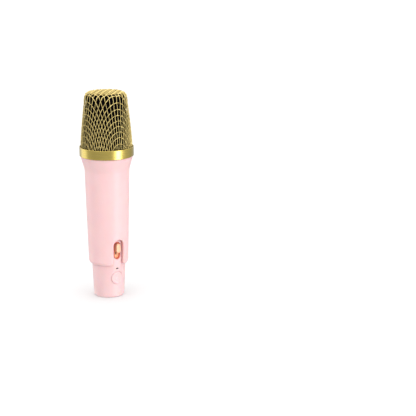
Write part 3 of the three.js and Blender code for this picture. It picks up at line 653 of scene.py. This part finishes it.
def build_sleeve():
    """The sleeve as one skin: out round its notched edge, up, over the flare and down the bore."""
    spacing = 0.36
    path, normals = notch_boundary(spacing)
    columns = len(path)
    gaps = np.linalg.norm(np.roll(path, -1, axis=0) - path, axis=1)
    gaps[-1] = spacing
    share = np.concatenate([[0], np.cumsum(gaps[:-1])]) / gaps.sum()
    even = (share * 2 - 1) * math.pi * SLEEVE_UNROLL
    even -= even[np.argmax(path[:, 1])]
    # the fillet is wide along the bottom edge and narrow round the notch
    near = np.clip((np.abs(path[:, 0]) - 6.5) / 9, 0, 1) * (path[:, 1] < SLEEVE_BOTTOM + 0.01)
    ease = near * near * (3 - 2 * near)
    climb = np.clip((path[:, 1] - SLEEVE_BOTTOM) / 6, 0, 1)
    width = 1.5 + 1.35 * ease - 0.9 * climb * (2 - climb)
    depth = 1.15 + 0.8 * ease - 0.55 * climb * (2 - climb)

    rows = []

    def add_row(u, z, radius):
        angle = u / SLEEVE_UNROLL
        shape = np.ones(columns)
        rows.append(np.stack([radius * np.sin(angle), -radius * np.cos(angle), z * shape], axis=1))

    for k in range(9):
        turn = math.pi / 2 * k / 8
        place = path + normals * (width * (1 - math.cos(turn)))[:, None]
        add_row(place[:, 0], place[:, 1], sleeve_radius(place[:, 1]) - depth * (1 - math.sin(turn)))
    start = path + normals * width[:, None]
    join_z = 53.0
    for t in np.linspace(0, 1, 27)[1:]:
        flow = t * t * (3 - 2 * t) * 0.35 + t * 0.65
        u = start[:, 0] * (1 - flow) + even * flow
        z = start[:, 1] * (1 - t) + join_z * t
        add_row(u, z, sleeve_radius(z))
    taper_top = SLEEVE_CREASE_Z - 1.6
    for z in np.linspace(join_z, taper_top, 30)[1:]:
        add_row(even, z, sleeve_radius(z))
    flare = rounded_profile([
        (sleeve_radius(taper_top), taper_top, 0.0001),
        (SLEEVE_HIGH_RADIUS + 0.02, SLEEVE_CREASE_Z, 0.5),
        (18.22, 105.75, 1.2),
        (SLEEVE_TOP_RADIUS, SLEEVE_TOP, 0.3),
        (18.75, SLEEVE_TOP, 0.1),
        (18.75, 112.3, 0.1),
        (16.2, 105.0, 0.2),
        (15.85, 102.0, 0.2),
        (14.85, 57.0, 0.1),
        (SLEEVE_BORE, 57.0, 0.1),
        (SLEEVE_BORE, join_z, 0.0001),
    ], 0.2)
    for radius, z in flare[5:]:
        add_row(even, z, radius)
    for t in np.linspace(0, 1, 12)[1:]:
        z = join_z * (1 - t) + path[:, 1] * t
        add_row(even * (1 - t) + path[:, 0] * t, z, SLEEVE_BORE + 0 * z)
    points = np.concatenate(rows)
    faces = grid_faces(len(rows), columns, wrap_rows=True)
    make_object("handle_sleeve", points, faces, "handle", "pink_shell", "outer_sleeve",
                smooth_angle=None)


# ---------- grip ----------
WINDOW_HALF = 7.5  # half the width of the strip of the grip that holds the holes
WINDOW_LOW = 6.0
WINDOW_HIGH = 52.0
HOLE_EDGE = 0.22  # radius of the rounding on each hole's edge
BUTTON_GAP = 0.16
TRAY_GAP = 0.3
LED_HALF = (1.15, 0.6)  # half the length and width of the status light's hole
GRIP_TAPER = ((1.6, 12.1), (10, 12.6), (25, 13.2), (30, 13.45), (57.3, 13.5))  # height, radius
TUBE_RADIUS = 14.5  # of the part inside the sleeve
TUBE_BORE = 12.7
TUBE_TOP = 104


def grip_radius(z):
    return float(np.interp(z, *zip(*GRIP_TAPER)))


def stadium_outline(half_width, half_length, centre_z, count):
    """An upright round-ended outline, anticlockwise seen from the front: (x, z) points."""
    straight = half_length - half_width
    points = []
    for i in range(count):
        a = 2 * math.pi * (i + 0.5) / count
        shift = straight if math.sin(a) > 0 else -straight
        points.append((half_width * math.cos(a), centre_z + shift + half_width * math.sin(a)))
    return points


def slot_outline(half_length, half_width, centre_z, count):
    """A lying round-ended outline."""
    return [(z - centre_z, centre_z - x) for x, z in
            stadium_outline(half_width, half_length, centre_z, count)]


def grip_holes(grow):
    """Outlines of the button's, the light's and the pocket's holes, widened by grow."""
    reach = BUTTON_RADIUS + BUTTON_GAP + grow
    around = np.arange(96) * math.pi / 48
    room = TRAY_GAP + grow
    return [
        [(reach * math.cos(a), BUTTON_Z + reach * math.sin(a)) for a in around],
        slot_outline(LED_HALF[0] + grow, LED_HALF[1] + grow, LED_Z, 32),
        stadium_outline(TRAY_HALF + room, TRAY_LONG + room, POCKET_Z, 96),
    ]


def gap_to_outline(point, outline):
    """Distance from a point to an outline, negative inside it."""
    loop = np.array(outline)
    after = np.roll(loop, -1, axis=0)
    run = after - loop
    t = np.clip(((point - loop) * run).sum(axis=1) / (run * run).sum(axis=1), 0, 1)
    gap = np.linalg.norm(loop + run * t[:, None] - point, axis=1).min()
    crosses = (loop[:, 1] > point[1]) != (after[:, 1] > point[1])
    level = loop[:, 0] + (point[1] - loop[:, 1]) / np.where(run[:, 1] == 0, 1, run[:, 1]) * run[:, 0]
    inside = (crosses & (level > point[0])).sum() % 2
    return -gap if inside else gap


def build_grip():
    """The grip: turned outside and in, with the button's, the light's and the switch's holes."""
    step, middle = 57.3, 80
    foot = FOOT_RADIUS - FOOT_ROUND
    outside = arc(foot, FOOT_ROUND, FOOT_ROUND, -90, 0, 8)
    outside += [(grip_radius(z), z) for z in np.arange(2.2, 6, 0.8)]
    heights = list(np.linspace(WINDOW_LOW, WINDOW_HIGH, 58))
    outside += [(grip_radius(z), z) for z in heights]
    first_out = len(outside) - len(heights)
    outside += [(GRIP_RADIUS, 55), (GRIP_RADIUS, step)]
    outside += [(TUBE_RADIUS, step), (TUBE_RADIUS, middle), (TUBE_RADIUS, TUBE_TOP)]
    inside = [(TUBE_BORE, TUBE_TOP), (TUBE_BORE, middle), (TUBE_BORE, 60.3), (GRIP_BORE, 58.3)]
    inside += [(GRIP_BORE, z) for z in reversed(heights)]
    first_in = len(outside) + len(inside) - len(heights)
    # the lip that the end cap is screwed against
    inside += [(GRIP_BORE, 3.3), (9, 3.3), (9, 2.3), (foot, 2.3), (foot, 0)]
    rows = outside + inside
    strip = np.linspace(-WINDOW_HALF, WINDOW_HALF, 21)
    rest = 180
    columns = len(strip) + rest - 1
    points = []
    for radius, z in rows:
        edge = math.asin(WINDOW_HALF / radius)
        angles = [math.asin(x / radius) for x in strip]
        angles += [edge + (2 * math.pi - 2 * edge) * j / rest for j in range(1, rest)]
        points += [(radius * math.sin(a), -radius * math.cos(a), z) for a in angles]
    windows = [(first_out, first_out + len(heights) - 1), (first_in, first_in + len(heights) - 1)]
    faces = []
    for i in range(len(rows)):
        above = (i + 1) % len(rows)
        skip = any(low <= i < high for low, high in windows)
        for j in range(columns):
            if skip and j < len(strip) - 1:
                continue
            k = (j + 1) % columns
            faces.append((i * columns + j, i * columns + k, above * columns + k,
                          above * columns + j))

    holes = grip_holes(HOLE_EDGE)
    spots, indices = [], []
    for i in range(len(heights)):
        for j in range(len(strip)):
            on_edge = i in (0, len(heights) - 1) or j in (0, len(strip) - 1)
            spot = np.array((strip[j], heights[i]))
            if on_edge or min(gap_to_outline(spot, hole) for hole in holes) > 0.35:
                spots.append(tuple(spot))
                indices.append((i, j))
    rims, borders = [], []
    for hole in holes:
        start = len(spots)
        spots += hole
        rims.append(list(range(start, len(spots))))
        borders += [(a, b) for a, b in zip(rims[-1], rims[-1][1:] + rims[-1][:1])]
    flat = delaunay_2d_cdt([Vector(spot) for spot in spots], borders, [], 0, 1e-6)
    verts, triangles, origins = flat[0], flat[2], flat[3]

    def sheet(window_start, outward):
        """One sheet of the strip: its point numbers, its triangles added to the mesh."""
        number = {}
        step = 1 if outward else -1
        base = window_start if outward else window_start + len(heights) - 1
        for v, origin in enumerate(origins):
            source = origin[0]
            if source < len(indices):
                i, j = indices[source]
                number[v] = (base + step * i) * columns + j
            else:
                x, z = verts[v]
                radius = grip_radius(z) if outward else GRIP_BORE
                number[v] = len(points)
                points.append((x, -math.sqrt(radius**2 - x * x), z))
        for a, b, c in triangles:
            middle = np.array((verts[a] + verts[b] + verts[c]) / 3)
            if min(gap_to_outline(middle, hole) for hole in holes) > 0:
                order = (a, b, c) if outward else (c, b, a)
                faces.append(tuple(number[v] for v in order))
        place = {origin[0]: v for v, origin in enumerate(origins)}
        return [[number[place[spot]] for spot in rim] for rim in rims]

    outer_rims = sheet(first_out, True)
    inner_rims = sheet(first_in, False)
    shrunk = [grip_holes(HOLE_EDGE * (1 - math.sin(t))) for t in np.radians((22, 45, 68, 90))]
    sink = [HOLE_EDGE * (1 - math.cos(t)) for t in np.radians((22, 45, 68, 90))]
    for which, (outer, inner) in enumerate(zip(outer_rims, inner_rims)):
        rings = [outer]
        for loops, depth in zip(shrunk, sink):
            start = len(points)
            for x, z in loops[which]:
                points.append((x, -math.sqrt(grip_radius(z)**2 - x * x) + depth, z))
            rings.append(list(range(start, len(points))))
        start = len(points)
        points += [(x, -math.sqrt(GRIP_BORE**2 - x * x) - 0.1, z) for x, z in shrunk[-1][which]]
        rings.append(list(range(start, len(points))))
        rings.append(inner)
        for near, far in zip(rings, rings[1:]):
            for j in range(len(near)):
                k = (j + 1) % len(near)
                faces.append((near[j], near[k], far[k], far[j]))

    used = sorted({v for face in faces for v in face})
    renumber = {old: new for new, old in enumerate(used)}
    faces = [tuple(renumber[v] for v in face) for face in faces]
    make_object("grip_tube", [points[v] for v in used], faces, "handle", "pink_shell",
                "core_tube", smooth_angle=50)


# ---------- switch and button ----------
def ring_stack(name, rings, body, slot, node, smooth_angle=40):
    """A closed piece from a run of matching rings that meet end to end."""
    count = len(rings[0])
    points = [point for ring in rings for point in ring]
    make_object(name, points, grid_faces(len(rings), count, wrap_rows=True), body, slot, node,
                smooth_angle=smooth_angle)


def capped_stack(name, rings, body, slot, node, smooth_angle=30):
    """A closed piece from a run of matching rings with a flat cap at each end."""
    count = len(rings[0])
    points = [point for ring in rings for point in ring]
    faces = grid_faces(len(rings), count)
    faces.append(tuple(reversed(range(count))))
    faces.append(tuple(range(len(points) - count, len(points))))
    return make_object(name, points, faces, body, slot, node, smooth_angle=smooth_angle)


def build_tray():
    """The pocket's lining: a round-ended cup with a slot in its floor and a flange behind."""
    rim = 13.35  # radius of the face that the pocket's edge follows
    half, long = POCKET_WIDTH / 2, POCKET_LENGTH / 2
    slot_half, slot_long = 0.8, 3.8
    flange_half, flange_long = 4.2, 8.1
    back, flange_face, floor = 9.8, 10.4, POCKET_FLOOR
    count = 96

    def ring(half_width, half_length, depth, follow=0.0):
        """A ring at a depth from the axis, or, where it follows the face, that far behind it."""
        out = []
        for x, z in stadium_outline(half_width, half_length, POCKET_Z, count):
            level = -math.sqrt(rim**2 - x * x) * follow + (1 - follow) * -depth
            out.append((x, level + (depth if follow else 0.0), z))
        return out

    rings = [
        ring(slot_half, slot_long, back), ring(slot_half, slot_long, floor - 0.1),
        ring(slot_half + 0.08, slot_long + 0.08, floor),
        ring(half - 0.5, long - 0.5, floor), ring(half - 0.2, long - 0.2, floor + 0.08),
        ring(half - 0.04, long - 0.04, floor + 0.3),
        ring(half, long, floor + 0.7), ring(half, long, 0.2, 1.0),
        ring(half + 0.05, long + 0.05, 0.06, 1.0), ring(half + 0.16, long + 0.16, 0.0, 1.0),
        ring(half + 0.3, long + 0.3, 0.03, 1.0), ring(TRAY_HALF, TRAY_LONG, 0.15, 1.0),
        ring(TRAY_HALF, TRAY_LONG, flange_face), ring(flange_half, flange_long, flange_face),
        ring(flange_half, flange_long, back),
    ]
    ring_stack("switch_pocket", rings[::-1], "handle", "coral_tray", "switch_tray")


def build_knob():
    """The slide knob: a long faceted pad on a thin stem."""
    half, end = 1.95, 3.65
    tip, shoulder = 1.0, 2.2  # where the end's and the side's straight edges stop
    corners = [(tip, -end), (half, -shoulder), (half, shoulder), (tip, end),
               (-tip, end), (-half, shoulder), (-half, -shoulder), (-tip, -end)]

    def outline(grow, reach):
        """The pad's outline pulled in by grow, each corner rounded by reach."""
        out = []
        for i, corner in enumerate(corners):
            shrink = (1 - grow / half, 1 - grow / end)
            here = np.array(corner) * shrink
            before = np.array(corners[i - 1]) * shrink - here
            after = np.array(corners[(i + 1) % 8]) * shrink - here
            a = here + before / np.linalg.norm(before) * reach
            b = here + after / np.linalg.norm(after) * reach
            for t in (0, 0.25, 0.5, 0.75, 1):
                out.append((1 - t) ** 2 * a + 2 * t * (1 - t) * here + t * t * b)
        return out

    def ring(grow, depth, reach=0.3):
        return [(x, -depth, KNOB_Z + z) for x, z in outline(grow, reach)]

    front = KNOB_FRONT
    rings = [
        ring(0.15, 11.5), ring(0.03, 11.58), ring(0.0, 11.7), ring(0.0, front - 0.42),
        ring(0.02, front - 0.34), ring(0.26, front - 0.07, 0.25), ring(0.33, front - 0.02, 0.22),
        ring(0.42, front, 0.2),
    ]
    knob = capped_stack("slide_pad", rings, "slider", "rose_gold", "slide_knob")
    stem = []
    for depth in (8.95, 9.9, 10.8, 11.6):
        stem.append([(0.7 * a, -depth, KNOB_Z + 1.4 * b) for a, b in
                     ((-1, -1), (1, -1), (1, 1), (-1, 1))])
    points = [point for ring in stem for point in ring]
    faces = grid_faces(len(stem), 4) + [(3, 2, 1, 0), tuple(range(12, 16))]
    piece = make_object("slide_stem", points, faces, "slider", "rose_gold", smooth_angle=30)
    return knob, piece


def build_button():
    """The power button: a low round cap that follows the grip, with a shallow generic ring."""
    face_radius = 13.15  # of the curved face, about the microphone's axis
    back, flange_back, flange_face = 8.45, 8.8, 9.65
    stem, flange = 1.5, 5.8
    count = 128
    angles = np.arange(count) * 2 * math.pi / count

    def ring(radius, depth, follow=1.0):
        """A ring that far behind the face, or, with follow 0, at that depth from the axis."""
        out = []
        for a in angles:
            x, z = radius * math.cos(a), BUTTON_Z + radius * math.sin(a)
            face = math.sqrt(face_radius**2 - x * x) - depth
            out.append((x, -(face * follow + (1 - follow) * depth), z))
        return out

    radius = BUTTON_RADIUS
    rings = [
        ring(0.02, back, 0.0), ring(stem, back, 0.0), ring(stem, flange_back, 0.0),
        ring(flange, flange_back, 0.0), ring(flange, flange_face, 0.0),
        ring(radius, flange_face, 0.0),
        ring(radius, 0.5), ring(radius - 0.05, 0.24), ring(radius - 0.16, 0.1),
        ring(radius - 0.34, 0.03), ring(radius - 0.6, 0.02), ring(3.05, 0.05), ring(2.9, 0.07),
        ring(2.78, 0.15), ring(2.55, 0.19), ring(2.32, 0.15), ring(2.2, 0.07), ring(2.05, 0.05),
        ring(1.2, 0.05), ring(0.02, 0.05),
    ]
    ring_stack("power_cap", rings, "button", "pink_shell", "power_button")


# ---------- assembly ----------
MATERIALS = build_materials()
build_camera()
build_light()
build_floor()
build_backdrop()

for entry in frame["record"]["subparts"]:
    node = frame["nodes"][entry["node"]]
    node.data.materials.clear()
    node.data.materials.append(MATERIALS[entry["material_slot"]])

build_grille()
build_foam()
build_ring()
build_sleeve()
build_grip()
build_tray()
build_knob()
build_button()

bpy.context.scene.view_settings.view_transform = "Standard"
